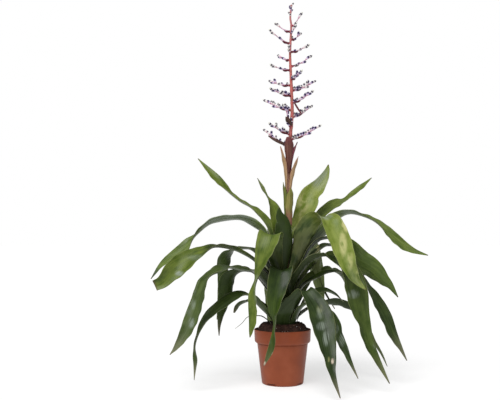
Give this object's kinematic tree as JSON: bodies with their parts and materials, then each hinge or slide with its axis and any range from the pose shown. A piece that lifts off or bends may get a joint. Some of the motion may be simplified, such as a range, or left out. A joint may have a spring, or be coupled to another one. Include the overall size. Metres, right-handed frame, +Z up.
{
  "type": "potted bromeliad",
  "caption": "Potted blue rain aechmea: a bromeliad rosette of arching strap leaves with a tall branched flower stem, standing in a terracotta-coloured nursery pot.",
  "frame": {"origin": "centre of the pot's flat underside, on the surface that it stands on", "axes": "+Z up along the pot's axis and the flower stem, -Y towards the viewer of the plant's front, +X to that viewer's right"},
  "size_m": [0.614, 0.4256, 0.8173],
  "materials": {
    "pot_plastic": "satin moulded plastic, terracotta coloured",
    "potting_soil": "rough, crumbly, matte",
    "crown_wood": "rough, fibrous",
    "flower_stem": "smooth, satin",
    "green_bract": "papery, satin",
    "dry_bract": "dry and papery, matte",
    "red_bract": "papery, satin",
    "florets": "waxy, satin",
    "leaf": "leathery with a waxy bloom, satin"
  },
  "bodies": {
    "root": {"pot": "pot_plastic", "soil": "potting_soil", "crown": "crown_wood", "flower_stem": "flower_stem", "bract_green": "green_bract", "bract_olive": "green_bract", "bract_tan_right": "dry_bract", "bract_tan_left": "dry_bract", "bract_front": "red_bract", "bract_behind": "red_bract", "flower_spray_01": "florets", "flower_spray_02": "florets", "flower_spray_03": "florets", "flower_spray_04": "florets", "flower_spray_05": "florets", "flower_spray_06": "florets", "flower_spray_07": "florets", "flower_spray_08": "florets", "flower_spray_09": "florets", "flower_spray_10": "florets", "flower_spray_11": "florets", "flower_spray_12": "florets", "flower_spray_13": "florets", "flower_spray_14": "florets", "flower_spray_15": "florets", "flower_spray_16": "florets", "flower_spray_17": "florets", "flower_spray_18": "florets", "flower_spray_19": "florets", "leaf_01": "leaf", "leaf_02": "leaf", "leaf_03": "leaf", "leaf_04": "leaf", "leaf_05": "leaf", "leaf_06": "leaf", "leaf_07": "leaf", "leaf_08": "leaf", "leaf_09": "leaf", "leaf_10": "leaf", "leaf_11": "leaf", "leaf_12": "leaf", "leaf_13": "leaf", "leaf_14": "leaf", "leaf_15": "leaf", "leaf_16": "leaf", "leaf_17": "leaf", "leaf_18": "leaf", "leaf_19": "leaf", "leaf_20": "leaf", "leaf_21": "leaf", "leaf_22": "leaf", "leaf_23": "leaf", "leaf_24": "leaf", "leaf_25": "leaf", "leaf_26": "leaf", "leaf_27": "leaf", "leaf_28": "leaf", "leaf_29": "leaf", "leaf_30": "leaf", "leaf_31": "leaf"}
  },
  "joints": []
}
